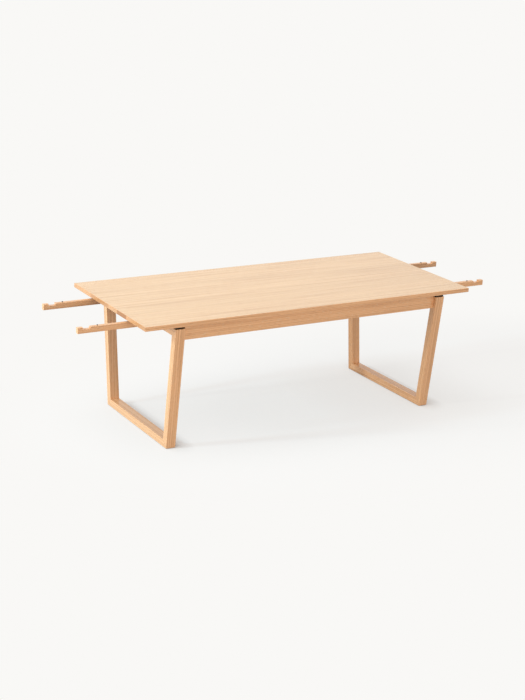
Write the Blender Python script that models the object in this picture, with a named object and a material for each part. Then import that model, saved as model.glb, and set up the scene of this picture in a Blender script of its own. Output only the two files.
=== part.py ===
"""Extending dining table in oak.

A long flat top stands on two closed, leaning end frames. Two bars at each end, the runners,
pull out from under the top to carry an extension leaf.

Sizes are in metres. X runs along the table, Y across it and Z up. The origin is on the floor,
under the middle of the top. Left is -X and front is -Y.
"""

import math

import bmesh
import bpy
from mathutils import Matrix, Vector

# Table top
TOP_LENGTH = 2.150
TOP_WIDTH = 0.950
TOP_THICKNESS = 0.025
TABLE_HEIGHT = 0.750
TOP_EDGE_ROUND = 0.002

# End frames: four bars of one width, mitred at the corners, wider at the head than at the foot
END_OVERHANG = 0.182
BAR_WIDTH = 0.058
BAR_DEPTH = 0.044
FOOT_SPREAD = 0.780
SHADOW_GAP = 0.010
HEAD_RAIL_SILL = 0.0116
BAR_EDGE_ROUND = 0.0015

# Felt pads under the feet
GLIDE_THICKNESS = 0.002
GLIDE_LENGTH = 0.060
GLIDE_INSET = 0.012
GLIDE_MARGIN = 0.009

# Spacers in the shadow gap, and the bolts that hold the frames to the top through them
SPACER_INSET = 0.001
SPACER_SETBACK = 0.008
SPACER_TAIL = 0.030
BOLT_INSET = 0.024
BOLT_DIAMETER = 0.008
BOLT_HEAD_DIAMETER = 0.013
BOLT_HEAD_HEIGHT = 0.008
BOLT_HEAD_RECESS = 0.001
BOLT_TIP_GAP = 0.002
SOCKET_WIDTH = 0.006
SOCKET_DEPTH = 0.004
INSERT_DIAMETER = 0.012
INSERT_LENGTH = 0.013

# Aprons
APRON_HEIGHT = 0.082
APRON_THICKNESS = 0.024
APRON_SETBACK = 0.028

# Runners, pulled out
RUNNER_REACH = 0.288
RUNNER_SPREAD = 0.481
RUNNER_WIDTH = 0.024
RUNNER_HEIGHT = 0.033
RUNNER_DROP = 0.009
RUNNER_TAIL = 0.016
RUNNER_EDGE_ROUND = 0.001
CLOSED_SETBACK = 0.010
END_BLOCK = 0.030
NOTCH_LENGTH = 0.044
NOTCH_DEPTH = 0.0115

# Locating pin and stop peg of a runner
PIN_SPACING = 0.043
PIN_DIAMETER = 0.006
PIN_DEPTH = 0.018
PIN_HEADROOM = 0.004
PIN_CHAMFER = 0.0006
PEG_DIAMETER = 0.008
PEG_STICK_OUT = 0.010

# Bearers, keepers, stop battens and corner blocks under the top
GUIDE_SPAN = 0.180
BEARER_WIDTH = 0.040
BEARER_SILL = 0.018
BATTEN_WIDTH = 0.040
BATTEN_HEIGHT = 0.045
CORNER_BLOCK_LEG = 0.055
CORNER_BLOCK_HEIGHT = 0.040
HIDDEN_EDGE_ROUND = 0.001

# Screws up into the top
BATTEN_SCREW_SPREAD = 0.300
BATTEN_SCREW_DIAMETER = 0.0045
BATTEN_SCREW_HEAD_DIAMETER = 0.009
BATTEN_SCREW_RECESS = 0.012
KEEPER_SCREW_DIAMETER = 0.0035
KEEPER_SCREW_HEAD_DIAMETER = 0.0068
KEEPER_SCREW_RECESS = 0.0035
SCREW_HEAD_HEIGHT = 0.0026
SCREW_BITE = 0.013
DRIVE_WIDTH = 0.003
DRIVE_DEPTH = 0.0015

# Clearances
JOINT_GAP = 0.0003
RUN_CLEARANCE = 0.0004
BOLT_CLEARANCE = 0.0005

# Facets of a round piece, and of the softened edge of a bar
ROUND_SEGMENTS = 20
SOCKET_SIDES = 6
EDGE_SEGMENTS = 2
EDGE_PROFILE = 0.5
NEAR_PARALLEL = 0.01
SMOOTH_ANGLE = math.radians(40)

# Colour, roughness and metallic value of each finish
FINISHES = {
    "oak": ("#DDB485", 0.50, 0.0),
    "beech": ("#E3C49B", 0.50, 0.0),
    "black_lacquer": ("#1C1714", 0.60, 0.0),
    "blackened_steel": ("#4A4038", 0.45, 1.0),
    "zinc_steel": ("#B9BBBE", 0.35, 1.0),
    "brass": ("#C9A458", 0.35, 1.0),
    "felt": ("#8A8178", 0.95, 0.0),
}

# The table's two ends and two long sides, by name and by sign
ENDS = (("left", -1), ("right", 1))
SIDES = (("front", -1), ("back", 1))
CORNERS = [(f"{end}_{side}", x, y) for end, x in ENDS for side, y in SIDES]

# Heights that several pieces share
TOP_UNDERSIDE = TABLE_HEIGHT - TOP_THICKNESS
FRAME_FOOT = GLIDE_THICKNESS + JOINT_GAP
FRAME_HEAD = TOP_UNDERSIDE - SHADOW_GAP
RUNNER_TOP = TOP_UNDERSIDE - RUNNER_DROP
RUNNER_BOTTOM = RUNNER_TOP - RUNNER_HEIGHT
RUNNER_MIDDLE = (RUNNER_TOP + RUNNER_BOTTOM) / 2
NOTCH_SEAT = RUNNER_BOTTOM - RUN_CLEARANCE
HEAD_RAIL_UNDERSIDE = NOTCH_SEAT - HEAD_RAIL_SILL

# Places along the table, from its middle
FRAME_OUTER = TOP_LENGTH / 2 - END_OVERHANG
FRAME_INNER = FRAME_OUTER - BAR_WIDTH
FRAME_MIDDLE = (FRAME_OUTER + FRAME_INNER) / 2
BEARER_OUTER = FRAME_INNER - GUIDE_SPAN
BEARER_INNER = BEARER_OUTER - BEARER_WIDTH
KEEPER_OUTER = FRAME_INNER - JOINT_GAP
KEEPER_MIDDLE = (KEEPER_OUTER + BEARER_INNER) / 2
PEG_X = BEARER_INNER - JOINT_GAP - PEG_DIAMETER / 2
RUNNER_INNER = PEG_X - PEG_DIAMETER / 2 - RUNNER_TAIL
RUNNER_LENGTH = TOP_LENGTH / 2 + RUNNER_REACH - RUNNER_INNER
RUNNER_TRAVEL = RUNNER_REACH + CLOSED_SETBACK
BATTEN_OUTER = RUNNER_INNER - RUNNER_TRAVEL - JOINT_GAP
BATTEN_MIDDLE = BATTEN_OUTER - BATTEN_WIDTH / 2

# Places across the table, from its middle
APRON_OUTER = TOP_WIDTH / 2 - APRON_SETBACK
APRON_INNER = APRON_OUTER - APRON_THICKNESS
CROSS_RAIL_END = APRON_INNER - JOINT_GAP
RUNNER_Y = RUNNER_SPREAD / 2

# Corners of an end frame's outline, as (y, z); the legs reach out to the top's long edges
LEAN = math.atan2(TOP_WIDTH / 2 - FOOT_SPREAD / 2, FRAME_HEAD - FRAME_FOOT)


def leg_face(z, depth):
    """How far out the leg's face is at a height: its outer face at depth 0, its inner at BAR_DEPTH."""
    return FOOT_SPREAD / 2 + (z - FRAME_FOOT) * math.tan(LEAN) - depth / math.cos(LEAN)


def frame_corner(z, depth):
    return Vector((leg_face(z, depth), z))


FOOT_OUTER_CORNER = frame_corner(FRAME_FOOT, 0)
FOOT_INNER_CORNER = frame_corner(FRAME_FOOT + BAR_DEPTH, BAR_DEPTH)
HEAD_OUTER_CORNER = frame_corner(FRAME_HEAD, 0)
HEAD_INNER_CORNER = frame_corner(HEAD_RAIL_UNDERSIDE, BAR_DEPTH)

# The bolt stands clear of the mitre, and the spacer runs on past it
BOLT_Y = HEAD_INNER_CORNER.x - BOLT_INSET
BOLT_SEAT = HEAD_RAIL_UNDERSIDE + BOLT_HEAD_RECESS + BOLT_HEAD_HEIGHT + JOINT_GAP
SPACER_OUTER = TOP_WIDTH / 2 - SPACER_SETBACK
SPACER_INNER = BOLT_Y - SPACER_TAIL


# Helpers


def clear_scene():
    for thing in list(bpy.data.objects):
        bpy.data.objects.remove(thing)


def to_linear(hex_colour):
    """An sRGB hex colour as linear red, green, blue and alpha."""
    shares = [int(hex_colour[i : i + 2], 16) / 255 for i in (1, 3, 5)]
    linear = [s / 12.92 if s <= 0.04045 else ((s + 0.055) / 1.055) ** 2.4 for s in shares]
    return (*linear, 1.0)


def finish(piece, name):
    """Gives a piece its own material of that finish."""
    colour, roughness, metallic = FINISHES[name]
    material = bpy.data.materials.new(f"{name}_{piece.name}")
    material.use_nodes = True
    shader = material.node_tree.nodes["Principled BSDF"]
    shader.inputs["Base Color"].default_value = to_linear(colour)
    shader.inputs["Roughness"].default_value = roughness
    shader.inputs["Metallic"].default_value = metallic
    piece.data.materials.append(material)


def place_empty(name, location, parent=None):
    empty = bpy.data.objects.new(name, None)
    empty.location = location
    empty.parent = parent
    bpy.context.scene.collection.objects.link(empty)
    return empty


def place(name, bm, finish_name, parent, location=(0, 0, 0)):
    """Turns a mesh under construction into a named piece of the table."""
    bmesh.ops.recalc_face_normals(bm, faces=bm.faces)
    mesh = bpy.data.meshes.new(name)
    bm.to_mesh(mesh)
    bm.free()
    piece = bpy.data.objects.new(name, mesh)
    piece.location = location
    piece.parent = parent
    bpy.context.scene.collection.objects.link(piece)
    finish(piece, finish_name)
    return piece


def add_block(bm, size, centre=(0, 0, 0)):
    shape = Matrix.Translation(centre) @ Matrix.Diagonal((*size, 1.0))
    bmesh.ops.create_cube(bm, size=1.0, matrix=shape)
    return bm


def block(size):
    return add_block(bmesh.new(), size)


def prism(outline, sweep):
    """A flat outline swept along a vector, with the outline's own plane in the middle."""
    bm = bmesh.new()
    near = [bm.verts.new(point - sweep / 2) for point in outline]
    far = [bm.verts.new(point + sweep / 2) for point in outline]
    bm.faces.new(near)
    bm.faces.new(reversed(far))
    for i in range(len(outline)):
        bm.faces.new((near[i - 1], far[i - 1], far[i], near[i]))
    return bm


def soften(bm, width, along=None):
    """Rounds the edges that run along a direction, or every edge."""
    edges = list(bm.edges)
    if along is not None:
        spans = [(edge, edge.verts[1].co - edge.verts[0].co) for edge in edges]
        edges = [edge for edge, span in spans if span.normalized().cross(along).length < NEAR_PARALLEL]
    shape = {"segments": EDGE_SEGMENTS, "profile": EDGE_PROFILE, "affect": "EDGES"}
    bmesh.ops.bevel(bm, geom=edges, offset=width, **shape)
    return bm


def add_turned(bm, profile, turn=Matrix(), segments=ROUND_SEGMENTS, hollow=False):
    """Adds a round body to a mesh, from (radius, height) pairs; a hollow profile closes on itself."""
    rings = []
    for radius, height in profile:
        angles = [2 * math.pi * i / segments for i in range(segments)]
        points = [Vector((radius * math.cos(a), radius * math.sin(a), height)) for a in angles]
        rings.append([bm.verts.new(turn @ point) for point in points])
    pairs = list(zip(rings, rings[1:]))
    if hollow:
        pairs.append((rings[-1], rings[0]))
    else:
        bm.faces.new(rings[0])
        bm.faces.new(rings[-1])
    for lower, upper in pairs:
        for i in range(segments):
            bm.faces.new((lower[i - 1], lower[i], upper[i], upper[i - 1]))
    return bm


def turned(profile, turn=Matrix(), segments=ROUND_SEGMENTS, hollow=False):
    return add_turned(bmesh.new(), profile, turn, segments, hollow)


def smooth(piece):
    piece.data.shade_smooth()
    piece.data.set_sharp_from_angle(angle=SMOOTH_ANGLE)


def cut(piece, cutter_bm):
    """Cuts a shape, given in the piece's own place, out of a piece."""
    cutter = place(f"{piece.name}_cutter", cutter_bm, "zinc_steel", piece.parent, piece.location)
    cutter.hide_render = True
    cutter.display_type = "WIRE"
    boolean = piece.modifiers.new("cut", "BOOLEAN")
    boolean.object = cutter
    boolean.operation = "DIFFERENCE"
    boolean.solver = "EXACT"


def across(points):
    """(y, z) pairs as points in a plane across the table."""
    return [Vector((0, y, z)) for y, z in points]


def mitre_pull(outer, inner, along):
    """How far a mitred end is drawn back along its bar to leave half a joint gap."""
    return along * (JOINT_GAP / 2 / abs(along.cross((inner - outer).normalized())))


def runner_notches(rail_width):
    """A cutter for the notches, open above, that the two runners pass through in a cross rail."""
    height = TABLE_HEIGHT - NOTCH_SEAT
    size = (2 * rail_width, RUNNER_WIDTH + 2 * RUN_CLEARANCE, height)
    notches = bmesh.new()
    for _, y in SIDES:
        add_block(notches, size, (0, y * RUNNER_Y, NOTCH_SEAT + height / 2))
    return notches


# Table top


def make_top(parent):
    middle = TABLE_HEIGHT - TOP_THICKNESS / 2
    board = soften(block((TOP_LENGTH, TOP_WIDTH, TOP_THICKNESS)), TOP_EDGE_ROUND)
    top = place("table_top", board, "oak", parent, (0, 0, middle))
    holes = bmesh.new()
    for _, x, y in CORNERS:
        drill(holes, x * FRAME_MIDDLE, y * BOLT_Y, INSERT_DIAMETER, INSERT_LENGTH)
        batten_screw_y = y * BATTEN_SCREW_SPREAD / 2
        drill(holes, x * BATTEN_MIDDLE, batten_screw_y, BATTEN_SCREW_DIAMETER, SCREW_BITE)
        drill(holes, x * KEEPER_MIDDLE, y * RUNNER_Y, KEEPER_SCREW_DIAMETER, SCREW_BITE)
    cut(top, holes)


def drill(bm, x, y, diameter, depth):
    """Adds a blind hole, up into the top's underside, to a cutter."""
    mouth = Matrix.Translation((x, y, -TOP_THICKNESS / 2))
    add_turned(bm, hole_profile(diameter, -depth, depth + JOINT_GAP), mouth)


# End frames


def make_frame(end, x, table):
    frame = place_empty(f"end_frame_{end}", (x * FRAME_MIDDLE, 0, 0), table)
    make_foot_rail(end, frame)
    make_head_rail(end, frame)
    for side, y in SIDES:
        corner = f"{end}_{side}"
        make_leg(corner, y, frame)
        make_glide(corner, y, frame)
        make_spacer(corner, y, frame)
        make_bolt(corner, y, frame)
        make_insert(corner, y, frame)


def make_leg(corner, y, frame):
    along = (HEAD_OUTER_CORNER - FOOT_OUTER_CORNER).normalized()
    foot_pull = mitre_pull(FOOT_OUTER_CORNER, FOOT_INNER_CORNER, along)
    head_pull = mitre_pull(HEAD_OUTER_CORNER, HEAD_INNER_CORNER, along)
    foot = [FOOT_INNER_CORNER + foot_pull, FOOT_OUTER_CORNER + foot_pull]
    head = [HEAD_OUTER_CORNER - head_pull, HEAD_INNER_CORNER - head_pull]
    outline = across([(y * point.x, point.y) for point in foot + head])
    bar = prism(outline, Vector((BAR_WIDTH, 0, 0)))
    soften(bar, BAR_EDGE_ROUND, Vector((0, y * along.x, along.y)))
    place(f"leg_{corner}", bar, "oak", frame)


def make_foot_rail(end, frame):
    pull = mitre_pull(FOOT_OUTER_CORNER, FOOT_INNER_CORNER, Vector((1, 0)))
    outer = FOOT_OUTER_CORNER - pull
    inner = FOOT_INNER_CORNER - pull
    outline = across([(-outer.x, outer.y), outer, inner, (-inner.x, inner.y)])
    bar = soften(prism(outline, Vector((BAR_WIDTH, 0, 0))), BAR_EDGE_ROUND, Vector((0, 1, 0)))
    place(f"foot_rail_{end}", bar, "oak", frame)


def make_head_rail(end, frame):
    pull = mitre_pull(HEAD_OUTER_CORNER, HEAD_INNER_CORNER, Vector((1, 0)))
    outer = HEAD_OUTER_CORNER - pull
    inner = HEAD_INNER_CORNER - pull
    outline = across([(-inner.x, inner.y), inner, outer, (-outer.x, outer.y)])
    bar = soften(prism(outline, Vector((BAR_WIDTH, 0, 0))), BAR_EDGE_ROUND, Vector((0, 1, 0)))
    rail = place(f"head_rail_{end}", bar, "oak", frame)
    recess = BOLT_HEAD_DIAMETER / 2 + BOLT_CLEARANCE
    shank = BOLT_DIAMETER / 2 + BOLT_CLEARANCE
    seat = BOLT_SEAT
    profile = [(recess, seat - BAR_DEPTH), (recess, seat), (shank, seat), (shank, TOP_UNDERSIDE)]
    cuts = runner_notches(BAR_WIDTH)
    for _, y in SIDES:
        add_turned(cuts, profile, Matrix.Translation((0, y * BOLT_Y, 0)))
    cut(rail, cuts)


def make_glide(corner, y, frame):
    size = (BAR_WIDTH - 2 * GLIDE_MARGIN, GLIDE_LENGTH, GLIDE_THICKNESS)
    middle = FOOT_SPREAD / 2 - GLIDE_INSET - GLIDE_LENGTH / 2
    place(f"glide_{corner}", block(size), "felt", frame, (0, y * middle, GLIDE_THICKNESS / 2))


def make_spacer(corner, y, frame):
    length = SPACER_OUTER - SPACER_INNER
    size = (BAR_WIDTH - 2 * SPACER_INSET, length, SHADOW_GAP - 2 * JOINT_GAP)
    middle = (SPACER_OUTER + SPACER_INNER) / 2
    centre = (0, y * middle, TOP_UNDERSIDE - SHADOW_GAP / 2)
    pad = soften(block(size), HIDDEN_EDGE_ROUND, Vector((0, 0, 1)))
    spacer = place(f"spacer_{corner}", pad, "black_lacquer", frame, centre)
    shank = BOLT_DIAMETER / 2 + BOLT_CLEARANCE
    hole_at = Matrix.Translation((0, y * (BOLT_Y - middle), 0))
    cut(spacer, turned([(shank, -SHADOW_GAP), (shank, SHADOW_GAP)], hole_at))


def make_bolt(corner, y, frame):
    head = BOLT_HEAD_DIAMETER / 2
    shank = BOLT_DIAMETER / 2
    head_top = BOLT_HEAD_HEIGHT
    head_face = BOLT_SEAT - JOINT_GAP - BOLT_HEAD_HEIGHT
    tip = TOP_UNDERSIDE + INSERT_LENGTH - BOLT_TIP_GAP - head_face
    profile = [(head, 0), (head, head_top), (shank, head_top), (shank, tip)]
    centre = (0, y * BOLT_Y, head_face)
    bolt = place(f"frame_bolt_{corner}", turned(profile), "zinc_steel", frame, centre)
    smooth(bolt)
    across_corners = SOCKET_WIDTH / 2 / math.cos(math.pi / SOCKET_SIDES)
    socket = [(across_corners, -SOCKET_DEPTH), (across_corners, SOCKET_DEPTH)]
    cut(bolt, turned(socket, segments=SOCKET_SIDES))


def make_insert(corner, y, frame):
    outer = INSERT_DIAMETER / 2
    bore = BOLT_DIAMETER / 2 + JOINT_GAP
    length = INSERT_LENGTH - JOINT_GAP
    profile = [(outer, 0), (outer, length), (bore, length), (bore, 0)]
    centre = (0, y * BOLT_Y, TOP_UNDERSIDE + JOINT_GAP)
    smooth(place(f"threaded_insert_{corner}", turned(profile, hollow=True), "brass", frame, centre))


# What hangs under the top


def make_apron(side, y, table):
    height = APRON_HEIGHT - JOINT_GAP
    size = (2 * (FRAME_INNER - JOINT_GAP), APRON_THICKNESS, height)
    centre = (0, y * (APRON_OUTER + APRON_INNER) / 2, TOP_UNDERSIDE - JOINT_GAP - height / 2)
    board = soften(block(size), BAR_EDGE_ROUND, Vector((1, 0, 0)))
    place(f"apron_{side}", board, "oak", table, centre)


def make_bearer(end, x, table):
    """A cross rail that the two runners of one end slide through."""
    rail_top = TOP_UNDERSIDE - JOINT_GAP
    underside = NOTCH_SEAT - BEARER_SILL
    size = (BEARER_WIDTH, 2 * CROSS_RAIL_END, rail_top - underside)
    bar = add_block(bmesh.new(), size, (0, 0, (rail_top + underside) / 2))
    soften(bar, HIDDEN_EDGE_ROUND, Vector((0, 1, 0)))
    middle = (BEARER_OUTER + BEARER_INNER) / 2
    bearer = place(f"bearer_{end}", bar, "oak", table, (x * middle, 0, 0))
    cut(bearer, runner_notches(BEARER_WIDTH))


def make_keeper(corner, x, y, table):
    """A strip under the top that keeps a runner from tipping up, and its screw."""
    thickness = RUNNER_DROP - JOINT_GAP - RUN_CLEARANCE
    size = (KEEPER_OUTER - BEARER_INNER, RUNNER_WIDTH, thickness)
    underside = RUNNER_TOP + RUN_CLEARANCE
    place_at = (x * KEEPER_MIDDLE, y * RUNNER_Y, underside + thickness / 2)
    keeper = place(f"keeper_{corner}", block(size), "beech", table, place_at)
    screw_at = (place_at[0], place_at[1], underside)
    sizes = (KEEPER_SCREW_DIAMETER, KEEPER_SCREW_HEAD_DIAMETER, KEEPER_SCREW_RECESS)
    make_screw(f"keeper_screw_{corner}", sizes, table, screw_at)
    cut(keeper, screw_hole(sizes, thickness, Vector((0, 0, -thickness / 2))))


def make_batten(end, x, table):
    """A cross batten that the runners meet when they are pushed in, and its screws."""
    height = BATTEN_HEIGHT - JOINT_GAP
    size = (BATTEN_WIDTH, 2 * CROSS_RAIL_END, height)
    underside = TOP_UNDERSIDE - BATTEN_HEIGHT
    bar = soften(block(size), HIDDEN_EDGE_ROUND, Vector((0, 1, 0)))
    centre = (x * BATTEN_MIDDLE, 0, underside + height / 2)
    batten = place(f"stop_batten_{end}", bar, "oak", table, centre)
    sizes = (BATTEN_SCREW_DIAMETER, BATTEN_SCREW_HEAD_DIAMETER, BATTEN_SCREW_RECESS)
    holes = bmesh.new()
    for side, y in SIDES:
        screw_y = y * BATTEN_SCREW_SPREAD / 2
        make_screw(f"batten_screw_{end}_{side}", sizes, table, (x * BATTEN_MIDDLE, screw_y, underside))
        screw_hole(sizes, height, Vector((0, screw_y, -height / 2)), holes)
    cut(batten, holes)


def screw_hole(sizes, thickness, mouth, bm=None):
    """A counterbored hole, up from its mouth, through a strip of that thickness."""
    diameter, head_diameter, recess = sizes
    head = head_diameter / 2 + JOINT_GAP
    shank = diameter / 2 + JOINT_GAP
    profile = [(head, -recess), (head, recess), (shank, recess), (shank, recess + thickness)]
    return add_turned(bm or bmesh.new(), profile, Matrix.Translation(mouth))


def make_screw(name, sizes, table, mouth):
    """A screw whose head sits at the bottom of its recess, and whose tip bites into the top."""
    diameter, head_diameter, recess = sizes
    seat = recess - JOINT_GAP
    tip = TOP_UNDERSIDE + SCREW_BITE - mouth[2]
    head = [(head_diameter / 2, seat - SCREW_HEAD_HEIGHT), (head_diameter / 2, seat)]
    shank = [(diameter / 2, seat), (diameter / 2, tip)]
    screw = place(name, turned(head + shank), "zinc_steel", table, mouth)
    smooth(screw)
    face = seat - SCREW_HEAD_HEIGHT
    across_corners = DRIVE_WIDTH / 2 / math.cos(math.pi / SOCKET_SIDES)
    drive = [(across_corners, face - DRIVE_DEPTH), (across_corners, face + DRIVE_DEPTH)]
    cut(screw, turned(drive, segments=SOCKET_SIDES))


def make_corner_block(corner, x, y, table):
    """A triangular block glued into the corner of an apron and a bearer."""
    corner_x = BEARER_INNER - JOINT_GAP
    legs = [(0, 0), (CORNER_BLOCK_LEG, 0), (0, CORNER_BLOCK_LEG)]
    outline = [Vector((-x * along, -y * over, 0)) for along, over in legs]
    wedge = prism(outline, Vector((0, 0, CORNER_BLOCK_HEIGHT)))
    middle = TOP_UNDERSIDE - JOINT_GAP - CORNER_BLOCK_HEIGHT / 2
    place(f"corner_block_{corner}", wedge, "beech", table, (x * corner_x, y * CROSS_RAIL_END, middle))


# Runners


def make_runner(corner, x, y, table):
    """A pull-out bar with its locating pin and stop peg, on an empty at its inner end."""
    inner_end = (x * RUNNER_INNER, y * RUNNER_Y, RUNNER_MIDDLE)
    slide = place_empty(f"runner_slide_{corner}", inner_end, table)
    half = RUNNER_HEIGHT / 2
    size = (RUNNER_LENGTH, RUNNER_WIDTH, RUNNER_HEIGHT)
    bar = add_block(bmesh.new(), size, (x * RUNNER_LENGTH / 2, 0, 0))
    runner = place(f"runner_{corner}", soften(bar, RUNNER_EDGE_ROUND), "oak", slide)

    notch_end = RUNNER_LENGTH - END_BLOCK
    notch_middle = notch_end - NOTCH_LENGTH / 2
    cuts = add_block(
        bmesh.new(),
        (NOTCH_LENGTH, 2 * RUNNER_WIDTH, 2 * NOTCH_DEPTH),
        (x * notch_middle, 0, half),
    )
    pin_at = Matrix.Translation((x * (notch_end - NOTCH_LENGTH - PIN_SPACING), 0, half))
    add_turned(cuts, hole_profile(PIN_DIAMETER, -PIN_DEPTH - JOINT_GAP, PIN_DEPTH), pin_at)
    sideways = Matrix.Rotation(math.pi / 2, 4, "X")
    peg_at = Matrix.Translation((x * (PEG_X - RUNNER_INNER), 0, 0)) @ sideways
    add_turned(cuts, hole_profile(PEG_DIAMETER, -RUNNER_WIDTH, RUNNER_WIDTH), peg_at)
    cut(runner, cuts)

    make_pin(corner, pin_at, slide)
    make_peg(corner, peg_at, slide)


def hole_profile(diameter, start, end):
    """A plain hole around a pin or peg."""
    radius = diameter / 2 + JOINT_GAP
    return [(radius, start), (radius, end)]


def make_pin(corner, pin_at, slide):
    """The dark pin in a runner's top that locates a leaf; it clears the table top's underside."""
    radius = PIN_DIAMETER / 2
    pin_top = RUNNER_DROP - PIN_HEADROOM
    profile = [(radius, -PIN_DEPTH), (radius, pin_top - PIN_CHAMFER), (radius - PIN_CHAMFER, pin_top)]
    smooth(place(f"locating_pin_{corner}", turned(profile, pin_at), "blackened_steel", slide))


def make_peg(corner, peg_at, slide):
    """The dowel across a runner's inner end, which meets the bearer when the runner is out."""
    reach = RUNNER_WIDTH / 2 + PEG_STICK_OUT
    profile = [(PEG_DIAMETER / 2, -reach), (PEG_DIAMETER / 2, reach)]
    smooth(place(f"stop_peg_{corner}", turned(profile, peg_at), "beech", slide))


def main():
    clear_scene()
    table = place_empty("table", (0, 0, 0))
    make_top(table)
    for side, y in SIDES:
        make_apron(side, y, table)
    for end, x in ENDS:
        make_frame(end, x, table)
        make_bearer(end, x, table)
        make_batten(end, x, table)
    for corner, x, y in CORNERS:
        make_keeper(corner, x, y, table)
        make_corner_block(corner, x, y, table)
        make_runner(corner, x, y, table)


main()
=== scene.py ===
"""Finishes an extending oak dining table and sets a plain studio around it.

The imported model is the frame: its pieces keep their shapes and places, and each gets here the finish
of its real material. Sizes are in metres. X runs along the table, Y across it and Z up; left is -X
and front is -Y.
"""

import math
import random

import bpy
from bpy.props import FloatProperty, FloatVectorProperty, PointerProperty
from mathutils import Matrix, Vector


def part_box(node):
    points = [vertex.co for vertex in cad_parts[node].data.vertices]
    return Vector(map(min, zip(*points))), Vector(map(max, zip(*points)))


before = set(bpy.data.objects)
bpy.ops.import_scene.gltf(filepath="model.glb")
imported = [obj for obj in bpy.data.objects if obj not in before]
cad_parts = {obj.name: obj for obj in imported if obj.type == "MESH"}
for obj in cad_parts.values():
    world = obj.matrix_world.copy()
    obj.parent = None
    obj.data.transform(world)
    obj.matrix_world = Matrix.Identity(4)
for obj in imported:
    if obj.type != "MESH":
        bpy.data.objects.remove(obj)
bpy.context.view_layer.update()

bl_info = {
    "name": "Extending oak dining table",
    "version": (1, 0, 0),
    "blender": (4, 5, 0),
    "location": "3D View > Sidebar > Table",
    "description": "Finishes the pieces of an extending oak table and sets a plain studio around it",
    "category": "Object",
}

ENDS = ("left", "right")
SIDES = ("front", "back")
CORNERS = [f"{end}_{side}" for end in ENDS for side in SIDES]

ALONG = Vector((1, 0, 0))
ACROSS = Vector((0, 1, 0))
UPRIGHT = Vector((0, 0, 1))

# Oak: how the pith wanders along the tree and how the rings wave
PITH_WANDER_LENGTH = 1.40
PITH_WANDER = 0.022
WAVE = (0.600, 0.050, 0.050)
WAVE_HEIGHT = 0.003

# Oak: rings drift wide and narrow over this depth, by this many rings, and the porous part of each fades
# between these shares of its width
SEASON_DEPTH = 0.040
SEASON_DRIFT = 1.8
EARLYWOOD_FADE = (0.06, 0.55)

# Oak: pores are cut from a noise between two levels, and show by these shares in the dense part of a ring
# and in the porous part
PORE_CUT = (0.56, 0.68)
PORE_SHOW = (0.2, 0.8)

# Oak: a ray's height along the grain, its depth towards the pith and its turn round it, the levels between
# which it is cut from a noise, and how far it shows
RAY = (0.016, 0.012, 0.008)
RAY_CUT = (0.64, 0.76)
RAY_SHOW = 0.5

# Oak: streaks and clouds, each as a length along the grain and a width across it, the levels between which
# a streak is cut from a noise, and how far each shows
STREAK = (0.700, 0.006, 0.006)
STREAK_CUT = (0.44, 0.72)
STREAK_SHOW = 0.40
CLOUD = (1.400, 0.090, 0.090)
CLOUD_TONE = 0.08

# Where a board was cut: its shift along the tree, and its distance from the pith
BOARD_SHIFT = 8.0
PITH_NEAREST = 0.090
PITH_FURTHEST = 0.260

# The first seed of each group of boards, which picks where each was cut
APRON_SEED = 10
FOOT_RAIL_SEED = 20
HEAD_RAIL_SEED = 22
LEG_SEED = 41
RUNNER_SEED = 60
CROSS_RAIL_SEED = 70
BEECH_SEED = 80

# Staves of the top: how much they differ in tone, how level a sanded face is to take the paler face
# colours, which partly paint the sheen that light gives it, how far oil darkens the sides and the end
# grain, and how unevenly it does so from stave to stave
STAVE_TONE = 0.020
FACE_LEVEL = 0.95
SIDE_SOAK = 0.06
END_SOAK = 0.66
SOAK_UNEVEN = 0.5

# Satin oil: its refraction, the levels of the wood from a pore up to the fibres, its roughness at each, and
# the relief that shows through it
OIL_IOR = 1.5
OIL_LEVELS = (-0.6, 0.7)
OIL_ROUGHNESS = (0.40, 0.20)
OIL_RELIEF = {"Strength": 0.35, "Distance": 0.0004}

# Beech: its streaks and rays, as a length along the grain and a width across it, the levels between which a
# ray is cut from a noise, and how far each shows
BEECH_STREAK = (0.080, 0.003, 0.003)
BEECH_STREAK_TONE = 0.1
BEECH_RAY = (0.003, 0.0008, 0.0008)
BEECH_RAY_CUT = (0.58, 0.68)
BEECH_RAY_SHOW = 0.6

# Fittings: the size and detail of the grain of sprayed lacquer, of blackened and of plated steel, of a
# lathe's marks and of felt, how far it changes the tone, between which values it swings the roughness, and
# its relief. A lathe's marks are about 0.1 mm apart; these are four times as wide.
LACQUER_PEEL = {"size": (0.002, 0.002, 0.002), "detail": 2.0, "tone": 0.2, "roughness": (0.75, 0.90)}
LACQUER_RELIEF = {"Strength": 0.2, "Distance": 0.0002}
OXIDE_BLOOM = {"size": (0.003, 0.003, 0.003), "detail": 3.0, "tone": 0.4, "roughness": (0.35, 0.55)}
ZINC_SKIN = {"size": (0.003, 0.003, 0.003), "detail": 3.0, "tone": 0.15, "roughness": (0.25, 0.45)}
LATHE_MARKS = {"size": (0.100, 0.100, 0.0004), "detail": 2.0, "tone": 0.15, "roughness": (0.25, 0.40)}
FELT_FIBRES = {"size": (0.0015, 0.0015, 0.0015), "detail": 4.0, "tone": 0.3, "roughness": (0.9, 1.0)}
FELT_RELIEF = {"Strength": 0.6, "Distance": 0.0005}

# The photograph's camera: its place, its turn round the table, and its lens for a 36 mm long side
CAMERA_AT = (-4.2307, -6.9323, 2.9586)
CAMERA_AZIMUTH = math.radians(-31.005)
CAMERA_ELEVATION = math.radians(17.829)
CAMERA_ROLL = math.radians(2.618)
CAMERA_LENS = 73.206
CAMERA_SENSOR = 36.0

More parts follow.
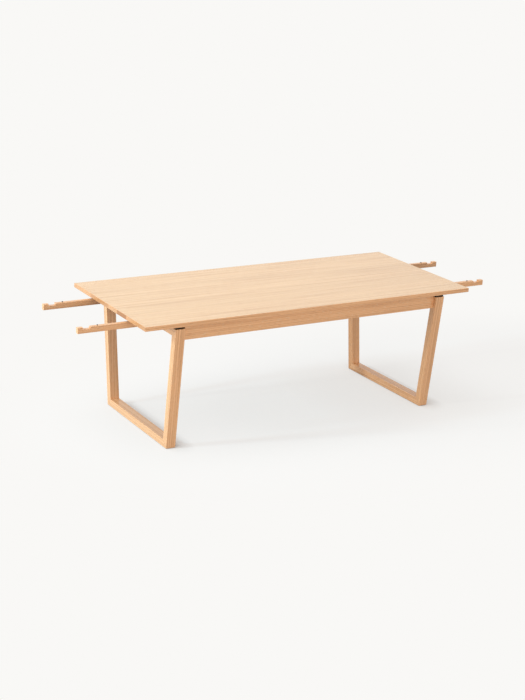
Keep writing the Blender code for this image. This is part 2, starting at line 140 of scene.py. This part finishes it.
# Studio: a panel and a low strip on the left, a low panel in front and a panel overhead
KEY_AT = Vector((-6.6, 0.3, 3.4))
KEY_SIZE = (0.5, 0.8)
STRIP_AT = Vector((-7.0, 0.95, 1.3))
STRIP_SIZE = (0.4, 1.6)
FRONT_AT = Vector((-1.0, -6.4, 1.0))
FRONT_SIZE = (2.4, 0.9)
OVERHEAD_AT = Vector((-0.4, 0.4, 4.4))
OVERHEAD_SIZE = (2.4, 2.4)
LIGHT_AIM = Vector((0.0, 0.0, 0.4))

# Studio floor: it fades to the clean backdrop between two distances from a centre, sooner across the table
# than along it, and keeps the shadows within a reach of the feet
FLOOR_SIZE = 120.0
FLOOR_ROUGHNESS = 0.9
CLEAN_SHAPE = (1.0, 1.7, 1.0)
CLEAN_CENTRE = (1.0, 0.0, 0.0)
CLEAN_NEAR = 1.2
CLEAN_FAR = 2.8
CONTACT_REACH = 0.12
CONTACT_DEEP = 0.4

# What makes a Mix node blend two colours
COLOURS = {"data_type": "RGBA", "out": "Result_Color"}


def linear(hex_colour):
    """An sRGB hex colour as linear red, green, blue and alpha."""
    shares = [int(hex_colour[i : i + 2], 16) / 255 for i in (1, 3, 5)]
    light = [s / 12.92 if s <= 0.04045 else ((s + 0.055) / 1.055) ** 2.4 for s in shares]
    return (*light, 1.0)


def colour(name, hex_colour, description):
    """A colour that a user may change."""
    limits = {"subtype": "COLOR", "size": 4, "min": 0.0, "max": 1.0}
    return FloatVectorProperty(name=name, description=description, default=linear(hex_colour), **limits)


def length(name, metres, description):
    """A size that a user may change."""
    return FloatProperty(name=name, description=description, default=metres, min=0.0001, unit="LENGTH")


def power(name, watts, description):
    """A lamp's power that a user may change."""
    return FloatProperty(name=name, description=description, default=watts, min=0.0, unit="POWER")


class OakLook(bpy.types.PropertyGroup):
    """Colours and grain of the oak"""

    latewood: colour("Latewood", "#EFBC8D", "Dense part of a growth ring in solid oak")
    earlywood: colour("Earlywood", "#E4AC79", "Porous part of a growth ring in solid oak")
    pore: colour("Pore", "#A86F42", "Open pores along the grain")
    ray: colour("Ray", "#EBC9A2", "Silvery rays where the board is cut towards the pith")
    # The face colours are paler partly as a painted sheen: the light on the top's level faces is painted
    # into their colour
    face_latewood_and_sheen: colour("Face latewood", "#E9C8A0", "Dense part of a ring on the top's sanded faces")
    face_earlywood_and_sheen: colour("Face earlywood", "#E3BF93", "Porous part of a ring on the top's sanded faces")
    ring_spacing: length("Ring spacing", 0.009, "Distance between growth rings across a board")
    stave_width: length("Stave width", 0.119, "Width of one stave of the top")
    pore_length: length("Pore length", 0.030, "Length of a pore along the grain")
    pore_width: length("Pore width", 0.0012, "Width of a pore across the grain")


class FittingsLook(bpy.types.PropertyGroup):
    """Colours of the small pieces"""

    beech: colour("Beech", "#E3C09A", "Keepers, corner blocks and stop pegs")
    beech_ray: colour("Beech ray", "#B98C62", "Short rays that fleck beech")
    lacquer: colour("Black lacquer", "#14100D", "Spacers in the gap between frames and top")
    oxide: colour("Blackened steel", "#4A4038", "Locating pins")
    zinc: colour("Zinc plating", "#B9BBBE", "Bolts and screws")
    brass: colour("Brass", "#C9A458", "Threaded inserts")
    felt: colour("Felt", "#8A8178", "Pads under the feet")


class StudioLook(bpy.types.PropertyGroup):
    """Colours and strengths of the floor and the light"""

    backdrop: colour("Backdrop", "#F9F8F6", "Floor and background as the camera sees them")
    floor: colour("Floor", "#E9ECEE", "Floor as the camera sees it in plain light")
    floor_bounce: colour("Floor bounce", "#6E6C6A", "Floor as it throws light back on the table")
    key_colour: colour("Key colour", "#CCF0FF", "Cool daylight of the panel on the left")
    strip_colour: colour("Strip colour", "#F3FAF6", "Light of the low strip on the left")
    front_colour: colour("Front colour", "#FFF7ED", "Light of the panel in front")
    overhead_colour: colour("Overhead colour", "#F8FAFF", "Light of the panel overhead")
    ambient_colour: colour("Ambient colour", "#FFF7F0", "Warm light of the room all around")
    key_power: power("Key light", 190.0, "Panel on the left")
    strip_power: power("Strip light", 262.0, "Low strip on the left")
    front_power: power("Front light", 120.0, "Panel in front")
    overhead_power: power("Overhead light", 50.0, "Panel overhead")
    ambient: FloatProperty(
        name="Ambient", description="Strength of the room's light", default=0.76, min=0.0
    )
    clean: FloatProperty(
        name="Clean floor", description="How far shadows are lifted", default=0.66, subtype="FACTOR"
    )


def add(tree, kind, *values, out=0, **named):
    """Adds a shader node. Values fill its inputs in order, and names set its options or its inputs."""
    node = tree.nodes.new("ShaderNode" + kind)
    for name in [name for name in named if hasattr(node, name)]:
        setattr(node, name, named.pop(name))
    inputs = {key: s for s in reversed(node.inputs) for key in (s.name.replace(" ", "_"), s.identifier)}
    for socket, value in [*zip(node.inputs, values), *((inputs[name], v) for name, v in named.items())]:
        if isinstance(value, bpy.types.NodeSocket):
            tree.links.new(value, socket)
        else:
            socket.default_value = value
    return next((s for i, s in enumerate(node.outputs) if out in (i, s.identifier, s.name)), node)


def new_material(name, **constants):
    """A material, its node tree and its shader, with the sockets that are the same all over."""
    material = bpy.data.materials.new(name)
    material.use_nodes = True
    shader = material.node_tree.nodes["Principled BSDF"]
    for socket, value in constants.items():
        shader.inputs[socket.replace("_", " ")].default_value = value
    return material, material.node_tree, shader


def join(tree, shader, **sockets):
    """Links nodes to a shader's sockets, by the sockets' names."""
    for socket, source in sockets.items():
        tree.links.new(source, shader.inputs[socket.replace("_", " ")])


def dress(material, *names):
    """Puts a material on pieces of the frame."""
    for name in names:
        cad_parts[name].material_slots[0].material = material


def at_corners(*pieces):
    """The names of pieces that are at each corner of the table."""
    return [f"{piece}_{corner}" for piece in pieces for corner in CORNERS]


def mottle(tree, base, pattern, depth):
    """A colour made darker and lighter by up to a share of itself, as a pattern goes from 0 to 1."""
    light = add(tree, "MapRange", pattern, 0.0, 1.0, 1 - depth, 1 + depth)
    return add(tree, "HueSaturation", Value=light, Color=base)


def board_vector(tree, name, grain, seed):
    """Places on one board: x along its grain, y and z out from the pith of its tree."""
    chance = random.Random(seed)
    turn = grain.rotation_difference(ALONG).to_matrix()
    low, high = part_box(name)
    shift = chance.uniform(-BOARD_SHIFT, BOARD_SHIFT)
    beside = chance.uniform(-PITH_FURTHEST, PITH_FURTHEST)
    below = chance.uniform(PITH_NEAREST, PITH_FURTHEST)
    cut_at = Vector((shift, beside, below)) - turn @ ((low + high) / 2)
    places = add(tree, "TexCoord", out="Object")
    return add(tree, "Mapping", places, Rotation=turn.to_euler(), Location=cut_at)


def stave_vector(tree, name, width):
    """Places on staves glued side by side, each from its own place in a tree, and the chance of each."""
    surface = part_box(name)[1].z
    places = add(tree, "TexCoord", out="Object")
    places = add(tree, "VectorMath", places, (0, 0, surface), operation="SUBTRACT")
    x = add(tree, "SeparateXYZ", places)
    count = add(tree, "Math", x.node.outputs["Y"], width, operation="DIVIDE")
    stave = add(tree, "Math", count, operation="FLOOR")
    chance = add(tree, "TexWhiteNoise", W=stave, noise_dimensions="1D", out="Color")
    over = add(tree, "Math", add(tree, "Math", count, operation="FRACT"), width, operation="MULTIPLY")
    place = add(tree, "CombineXYZ", x, over, x.node.outputs["Z"])
    spread = (BOARD_SHIFT, PITH_FURTHEST, PITH_FURTHEST - PITH_NEAREST)
    nearest = (0, 0, PITH_NEAREST)
    cut_at = add(tree, "VectorMath", chance, spread, nearest, operation="MULTIPLY_ADD")
    return add(tree, "VectorMath", place, cut_at, operation="ADD"), chance


def oak_figure(tree, board, look, latewood, earlywood):
    """The growth rings, streaks, rays and pores of a board, as its colour and the height of its surface."""
    along = add(tree, "SeparateXYZ", board)
    far = add(tree, "Math", along, PITH_WANDER_LENGTH, operation="DIVIDE")
    wander = add(tree, "TexNoise", W=far, Scale=1.0, Detail=1.0, noise_dimensions="1D", out="Color")
    wander_by = (0, PITH_WANDER, PITH_WANDER)
    bent = add(tree, "VectorMath", wander, wander_by, board, operation="MULTIPLY_ADD")
    cell = add(tree, "VectorMath", board, WAVE, operation="DIVIDE")
    wave = add(tree, "TexNoise", cell, Scale=1.0, Detail=2.0, out="Color")
    bent = add(tree, "VectorMath", wave, (0, WAVE_HEIGHT, WAVE_HEIGHT), bent, operation="MULTIPLY_ADD")
    section = add(tree, "VectorMath", bent, (0, 1, 1), operation="MULTIPLY")
    radius = add(tree, "VectorMath", section, operation="LENGTH", out="Value")

    # Rings of this oak are about 3 mm wide; they are drawn three times as wide, to show at this distance.
    depth = add(tree, "Math", radius, SEASON_DEPTH, operation="DIVIDE")
    season = add(tree, "TexNoise", W=depth, Scale=1.0, Detail=2.0, noise_dimensions="1D")
    years = add(tree, "Math", radius, look.ring_spacing, operation="DIVIDE")
    years = add(tree, "Math", season, SEASON_DRIFT, years, operation="MULTIPLY_ADD")
    phase = add(tree, "Math", years, operation="FRACT")
    early = add(tree, "MapRange", phase, *EARLYWOOD_FADE, 1.0, 0.0, interpolation_type="SMOOTHSTEP")

    # Pores of oak are about 0.3 mm wide; they are drawn four times as wide.
    pore_size = (look.pore_length, look.pore_width, look.pore_width)
    cell = add(tree, "VectorMath", board, pore_size, operation="DIVIDE")
    speck = add(tree, "TexNoise", cell, Scale=1.0, Detail=1.0)
    pore = add(tree, "MapRange", speck, *PORE_CUT, interpolation_type="SMOOTHSTEP")
    share = add(tree, "MapRange", early, 0.0, 1.0, *PORE_SHOW)
    pore = add(tree, "Math", pore, share, operation="MULTIPLY")

    # Rays are thin plates that stand along the grain and point at the pith.
    side = add(tree, "SeparateXYZ", bent, out="Y")
    angle = add(tree, "Math", side, side.node.outputs["Z"], operation="ARCTAN2")
    cell = add(tree, "VectorMath", add(tree, "CombineXYZ", along, radius, angle), RAY, operation="DIVIDE")
    plate = add(tree, "TexNoise", cell, Scale=1.0, Detail=0.0)
    ray = add(tree, "MapRange", plate, *RAY_CUT, 0.0, RAY_SHOW, interpolation_type="SMOOTHSTEP")

    cell = add(tree, "VectorMath", board, STREAK, operation="DIVIDE")
    streak = add(tree, "TexNoise", cell, Scale=1.0, Detail=3.0)
    dark = add(tree, "MapRange", streak, *STREAK_CUT, 0.0, STREAK_SHOW, interpolation_type="SMOOTHSTEP")
    cell = add(tree, "VectorMath", board, CLOUD, operation="DIVIDE")
    cloud = add(tree, "TexNoise", cell, Scale=1.0, Detail=1.0)

    wood = add(tree, "Mix", early, A_Color=latewood, B_Color=earlywood, **COLOURS)
    wood = add(tree, "Mix", ray, A_Color=wood, B_Color=look.ray, **COLOURS)
    wood = add(tree, "Mix", dark, A_Color=wood, B_Color=look.pore, **COLOURS)
    wood = add(tree, "Mix", pore, A_Color=wood, B_Color=look.pore, **COLOURS)
    return mottle(tree, wood, cloud, CLOUD_TONE), add(tree, "Math", streak, pore, operation="SUBTRACT")


def oil(tree, shader, wood, height):
    """A clear satin oil over wood: duller in the pores than on the fibres between them."""
    roughness = add(tree, "MapRange", height, *OIL_LEVELS, *OIL_ROUGHNESS)
    normal = add(tree, "Bump", Height=height, **OIL_RELIEF)
    join(tree, shader, Base_Color=wood, Roughness=roughness, Normal=normal)


def solid_oak(name, grain, seed):
    """Planed solid oak under a clear satin oil: ringed, streaked along the board, open in the pores."""
    look = bpy.context.scene.oak_look
    material, tree, shader = new_material(f"planed_oak_{name}", IOR=OIL_IOR)
    board = board_vector(tree, name, grain, seed)
    oil(tree, shader, *oak_figure(tree, board, look, look.latewood, look.earlywood))
    return material


def planed_beech(name, grain, seed):
    """Planed beech under the same oil: pale and even, flecked along the grain by its short brown rays."""
    look = bpy.context.scene.fittings_look
    material, tree, shader = new_material(f"planed_beech_{name}", IOR=OIL_IOR)
    board = board_vector(tree, name, grain, seed)
    cell = add(tree, "VectorMath", board, BEECH_STREAK, operation="DIVIDE")
    streak = add(tree, "TexNoise", cell, Scale=1.0, Detail=3.0)
    # Rays of beech are about 3 mm long and under half a millimetre wide; these are twice as wide.
    cell = add(tree, "VectorMath", board, BEECH_RAY, operation="DIVIDE")
    speck = add(tree, "TexNoise", cell, Scale=1.0)
    ray = add(tree, "MapRange", speck, *BEECH_RAY_CUT, 0.0, BEECH_RAY_SHOW)
    wood = add(tree, "Mix", ray, A_Color=look.beech, B_Color=look.beech_ray, **COLOURS)
    wood = mottle(tree, wood, streak, BEECH_STREAK_TONE)
    oil(tree, shader, wood, add(tree, "Math", streak, ray, operation="SUBTRACT"))
    return material


def fine_grained(name, base, size, detail, tone, roughness, relief=None, **constants):
    """A fitting's material: one fine grain mottles its colour and its gloss, and may stand in relief."""
    material, tree, shader = new_material(name, **constants)
    cell = add(tree, "VectorMath", add(tree, "TexCoord", out="Object"), size, operation="DIVIDE")
    grain = add(tree, "TexNoise", cell, Scale=1.0, Detail=detail)
    gloss = add(tree, "MapRange", grain, 0.0, 1.0, *roughness)
    join(tree, shader, Base_Color=mottle(tree, base, grain, tone), Roughness=gloss)
    if relief:
        join(tree, shader, Normal=add(tree, "Bump", Height=grain, **relief))
    return material


class TABLE_OT_finish_top(bpy.types.Operator):
    """Makes the top of oak staves glued edge to edge"""

    bl_idname = "table.finish_top"
    bl_label = "Finish the top"

    def execute(self, context):
        # Glued oak staves: the level faces are paler, partly sanded pale and partly a painted sheen of the
        # studio light, while the end grain drinks the oil and is darker.
        look = context.scene.oak_look
        material, tree, shader = new_material("edge_glued_oak_staves", IOR=OIL_IOR)
        staves, chance = stave_vector(tree, "table_top", look.stave_width)
        facing = add(tree, "SeparateXYZ", add(tree, "TexCoord", out="Normal"))
        up = add(tree, "Math", facing.node.outputs["Z"], operation="ABSOLUTE")
        # Level faces, the top and its underside, take the paler face colours, which are partly a painted
        # sheen
        face = add(tree, "Math", up, FACE_LEVEL, operation="GREATER_THAN")
        late = add(tree, "Mix", face, A_Color=look.latewood, B_Color=look.face_latewood_and_sheen, **COLOURS)
        early = add(tree, "Mix", face, A_Color=look.earlywood, B_Color=look.face_earlywood_and_sheen, **COLOURS)
        wood, height = oak_figure(tree, staves, look, late, early)
        tone = add(tree, "SeparateXYZ", chance, out="Z")
        wood = mottle(tree, wood, tone, STAVE_TONE)
        end = add(tree, "Math", facing, operation="ABSOLUTE")
        soak = add(tree, "MapRange", end, 0.0, 1.0, SIDE_SOAK, END_SOAK)
        uneven = add(tree, "MapRange", tone, 0.0, 1.0, 1 + SOAK_UNEVEN, 1 - SOAK_UNEVEN)
        soak = add(tree, "Math", soak, uneven, operation="MULTIPLY")
        soak = add(tree, "Mix", face, A_Float=soak, B_Float=0.0)
        wood = add(tree, "Mix", soak, A_Color=wood, B_Color=look.pore, **COLOURS)
        oil(tree, shader, wood, height)
        dress(material, "table_top")
        return {"FINISHED"}


class TABLE_OT_finish_aprons(bpy.types.Operator):
    """Gives the aprons solid oak with its grain along the table"""

    bl_idname = "table.finish_aprons"
    bl_label = "Finish the aprons"

    def execute(self, context):
        for seed, side in enumerate(SIDES, APRON_SEED):
            name = f"apron_{side}"
            dress(solid_oak(name, ALONG, seed), name)
        return {"FINISHED"}


class TABLE_OT_finish_end_frames(bpy.types.Operator):
    """Gives the legs and rails of the end frames solid oak with its grain along each bar"""

    bl_idname = "table.finish_end_frames"
    bl_label = "Finish the end frames"

    def execute(self, context):
        for order, end in enumerate(ENDS):
            rails = (f"foot_rail_{end}", f"head_rail_{end}")
            for rail, first in zip(rails, (FOOT_RAIL_SEED, HEAD_RAIL_SEED)):
                dress(solid_oak(rail, ACROSS, first + order), rail)
            foot, head = (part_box(rail) for rail in rails)
            lean = Vector((0, head[1].y - foot[1].y, head[1].z - foot[0].z)).normalized()
            first = LEG_SEED + order * len(SIDES)
            for seed, (side, way) in enumerate(zip(SIDES, (-1, 1)), first):
                name = f"leg_{end}_{side}"
                dress(solid_oak(name, Vector((0, way * lean.y, lean.z)), seed), name)
        return {"FINISHED"}


class TABLE_OT_finish_runners(bpy.types.Operator):
    """Gives the pull-out runners solid oak with its grain along each bar"""

    bl_idname = "table.finish_runners"
    bl_label = "Finish the runners"

    def execute(self, context):
        for seed, name in enumerate(at_corners("runner"), RUNNER_SEED):
            dress(solid_oak(name, ALONG, seed), name)
        return {"FINISHED"}


class TABLE_OT_finish_cross_rails(bpy.types.Operator):
    """Gives the bearers and stop battens under the top solid oak with its grain across the table"""

    bl_idname = "table.finish_cross_rails"
    bl_label = "Finish the cross rails"

    def execute(self, context):
        names = [f"{rail}_{end}" for rail in ("bearer", "stop_batten") for end in ENDS]
        for seed, name in enumerate(names, CROSS_RAIL_SEED):
            dress(solid_oak(name, ACROSS, seed), name)
        return {"FINISHED"}


class TABLE_OT_finish_beech(bpy.types.Operator):
    """Gives the keepers, corner blocks and stop pegs planed beech"""

    bl_idname = "table.finish_beech"
    bl_label = "Finish the beech pieces"

    def execute(self, context):
        grains = {"keeper": ALONG, "corner_block": UPRIGHT, "stop_peg": ACROSS}
        for seed, (piece, grain) in enumerate(grains.items(), BEECH_SEED):
            names = at_corners(piece)
            dress(planed_beech(names[0], grain, seed), *names)
        return {"FINISHED"}


class TABLE_OT_finish_spacers(bpy.types.Operator):
    """Lacquers the spacers black"""

    bl_idname = "table.finish_spacers"
    bl_label = "Finish the spacers"

    def execute(self, context):
        # Sprayed lacquer on wood: a dead matt black with the slight orange peel that a spray gun leaves.
        black = context.scene.fittings_look.lacquer
        skin = {"relief": LACQUER_RELIEF, "IOR": 1.5, "Specular_IOR_Level": 0.15}
        material = fine_grained("sprayed_black_lacquer", black, **LACQUER_PEEL, **skin)
        dress(material, *at_corners("spacer"))
        return {"FINISHED"}


class TABLE_OT_finish_pins(bpy.types.Operator):
    """Blackens the locating pins"""

    bl_idname = "table.finish_pins"
    bl_label = "Finish the pins"

    def execute(self, context):
        # Turned steel, blackened in hot salts: dark and oily, with a brown bloom in patches.
        steel = context.scene.fittings_look.oxide
        material = fine_grained("blackened_turned_steel", steel, **OXIDE_BLOOM, Metallic=1.0)
        dress(material, *at_corners("locating_pin"))
        return {"FINISHED"}


class TABLE_OT_finish_fixings(bpy.types.Operator):
    """Plates the bolts and screws with zinc and makes the threaded inserts brass"""

    bl_idname = "table.finish_fixings"
    bl_label = "Finish the fixings"

    def execute(self, context):
        look = context.scene.fittings_look
        # Zinc-plated steel: bright grey with a cloudy, slightly blue passivated skin.
        material = fine_grained("zinc_plated_steel", look.zinc, **ZINC_SKIN, Metallic=1.0)
        dress(material, *at_corners("frame_bolt", "keeper_screw", "batten_screw"))

        # Turned brass: warm yellow, with the fine rings that the lathe tool leaves round the axis.
        material = fine_grained("turned_brass", look.brass, **LATHE_MARKS, Metallic=1.0)
        dress(material, *at_corners("threaded_insert"))
        return {"FINISHED"}


class TABLE_OT_finish_glides(bpy.types.Operator):
    """Makes the pads under the feet pressed felt"""

    bl_idname = "table.finish_glides"
    bl_label = "Finish the glides"

    def execute(self, context):
        # Pressed wool felt: soft and dull, mottled by matted fibres, with a pale fuzz at grazing angles.
        felt = context.scene.fittings_look.felt
        fuzz = {"relief": FELT_RELIEF, "Sheen_Weight": 0.3, "Sheen_Roughness": 0.6}
        material = fine_grained("pressed_felt", felt, **FELT_FIBRES, **fuzz)
        dress(material, *at_corners("glide"))
        return {"FINISHED"}


def seen_directly(tree):
    """One where the camera, or a reflection or glass, looks straight at a surface."""
    camera = add(tree, "LightPath", out="Is Camera Ray")
    mirror = add(tree, "Math", camera, camera.node.outputs["Is Glossy Ray"], operation="MAXIMUM")
    return add(tree, "Math", mirror, camera.node.outputs["Is Transmission Ray"], operation="MAXIMUM")


class TABLE_OT_build_studio(bpy.types.Operator):
    """Sets the floor, the light and the camera"""

    bl_idname = "table.build_studio"
    bl_label = "Build the studio"

    def execute(self, context):
        look = context.scene.studio_look
        self.build_floor(look, context.scene)
        self.build_light(look, context.scene)
        self.build_camera(context.scene)
        context.scene.view_settings.view_transform = "Standard"
        return {"FINISHED"}

    def build_floor(self, look, scene):
        """A painted studio floor. What is seen of it is lifted to the clean backdrop, most of all far off.

        Close beside the feet, on the side that the key panel doesn't reach, it keeps its full shadow.
        """
        mesh = bpy.data.meshes.new("studio_floor")
        half = FLOOR_SIZE / 2
        corners = [(-half, -half, 0), (half, -half, 0), (half, half, 0), (-half, half, 0)]
        mesh.from_pydata(corners, [], [range(len(corners))])
        floor = bpy.data.objects.new("studio_floor", mesh)
        scene.collection.objects.link(floor)
        material, tree, shader = new_material("painted_floor", Roughness=FLOOR_ROUGHNESS)
        seen = seen_directly(tree)
        paint = add(tree, "Mix", seen, A_Color=look.floor_bounce, B_Color=look.floor, **COLOURS)
        join(tree, shader, Base_Color=paint)
        places = add(tree, "TexCoord", out="Object")
        places = add(tree, "VectorMath", places, CLEAN_SHAPE, operation="MULTIPLY")
        away = add(tree, "VectorMath", places, CLEAN_CENTRE, operation="DISTANCE", out="Value")
        fade = (CLEAN_NEAR, CLEAN_FAR, look.clean, 1.0)
        lift = add(tree, "MapRange", away, *fade, interpolation_type="SMOOTHSTEP")
        towards_key = add(tree, "CombineXYZ", *(KEY_AT - LIGHT_AIM).normalized())
        close = add(tree, "AmbientOcclusion", Distance=CONTACT_REACH, Normal=towards_key, out="AO")
        close = add(tree, "MapRange", close, CONTACT_DEEP, 1.0, 0.0, 1.0)
        lift = add(tree, "Math", lift, close, operation="MULTIPLY")
        lift = add(tree, "Math", lift, seen, operation="MULTIPLY")
        clean = add(tree, "Emission", look.backdrop, 1.0)
        surface = add(tree, "MixShader", lift, shader.outputs["BSDF"], clean)
        tree.links.new(surface, tree.nodes["Material Output"].inputs["Surface"])
        mesh.materials.append(material)

    def build_light(self, look, scene):
        """A panel and a low strip on the left, panels in front and overhead, and light from all around."""
        lamps = (
            ("key_panel", KEY_AT, KEY_SIZE, look.key_power, look.key_colour),
            ("low_strip", STRIP_AT, STRIP_SIZE, look.strip_power, look.strip_colour),
            ("front_panel", FRONT_AT, FRONT_SIZE, look.front_power, look.front_colour),
            ("overhead_panel", OVERHEAD_AT, OVERHEAD_SIZE, look.overhead_power, look.overhead_colour),
        )
        for name, place, size, watts, tint in lamps:
            lamp = bpy.data.lights.new(name, "AREA")
            lamp.shape = "RECTANGLE"
            lamp.size, lamp.size_y = size
            lamp.energy = watts
            lamp.color = tint[:3]
            panel = bpy.data.objects.new(name, lamp)
            panel.location = place
            panel.rotation_euler = (LIGHT_AIM - place).to_track_quat("-Z", "Y").to_euler()
            scene.collection.objects.link(panel)

        world = bpy.data.worlds.new("studio")
        world.use_nodes = True
        tree = world.node_tree
        tree.nodes.clear()
        soft = add(tree, "Background", look.ambient_colour, look.ambient)
        clean = add(tree, "Background", look.backdrop, 1.0)
        add(tree, "OutputWorld", add(tree, "MixShader", seen_directly(tree), soft, clean))
        scene.world = world

    def build_camera(self, scene):
        """The photograph's camera."""
        camera = bpy.data.objects.new("camera", bpy.data.cameras.new("camera"))
        camera.data.lens = CAMERA_LENS
        camera.data.sensor_width = CAMERA_SENSOR
        camera.data.clip_end = 2 * FLOOR_SIZE
        turn = Matrix.Rotation(CAMERA_AZIMUTH, 4, "Z")
        tilt = Matrix.Rotation(math.pi / 2 - CAMERA_ELEVATION, 4, "X")
        roll = Matrix.Rotation(CAMERA_ROLL, 4, "Z")
        camera.matrix_world = Matrix.Translation(CAMERA_AT) @ turn @ tilt @ roll
        scene.collection.objects.link(camera)
        scene.camera = camera


OPERATORS = (
    TABLE_OT_finish_top,
    TABLE_OT_finish_aprons,
    TABLE_OT_finish_end_frames,
    TABLE_OT_finish_runners,
    TABLE_OT_finish_cross_rails,
    TABLE_OT_finish_beech,
    TABLE_OT_finish_spacers,
    TABLE_OT_finish_pins,
    TABLE_OT_finish_fixings,
    TABLE_OT_finish_glides,
    TABLE_OT_build_studio,
)


class TABLE_PT_looks(bpy.types.Panel):
    """Lists the looks and the steps in the sidebar"""

    bl_idname = "TABLE_PT_looks"
    bl_label = "Extending oak table"
    bl_space_type = "VIEW_3D"
    bl_region_type = "UI"
    bl_category = "Table"

    def draw(self, context):
        for look in (context.scene.oak_look, context.scene.fittings_look, context.scene.studio_look):
            box = self.layout.box()
            for name in look.__annotations__:
                box.prop(look, name)
        for operator in OPERATORS:
            self.layout.operator(operator.bl_idname)


CLASSES = (OakLook, FittingsLook, StudioLook, *OPERATORS, TABLE_PT_looks)


def register():
    for cls in CLASSES:
        bpy.utils.register_class(cls)
    bpy.types.Scene.oak_look = PointerProperty(type=OakLook)
    bpy.types.Scene.fittings_look = PointerProperty(type=FittingsLook)
    bpy.types.Scene.studio_look = PointerProperty(type=StudioLook)


def unregister():
    del bpy.types.Scene.studio_look
    del bpy.types.Scene.fittings_look
    del bpy.types.Scene.oak_look
    for cls in reversed(CLASSES):
        bpy.utils.unregister_class(cls)


def main():
    """Finishes every piece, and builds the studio."""
    register()
    bpy.ops.table.finish_top()
    bpy.ops.table.finish_aprons()
    bpy.ops.table.finish_end_frames()
    bpy.ops.table.finish_runners()
    bpy.ops.table.finish_cross_rails()
    bpy.ops.table.finish_beech()
    bpy.ops.table.finish_spacers()
    bpy.ops.table.finish_pins()
    bpy.ops.table.finish_fixings()
    bpy.ops.table.finish_glides()
    bpy.ops.table.build_studio()


if __name__ == "__main__":
    main()
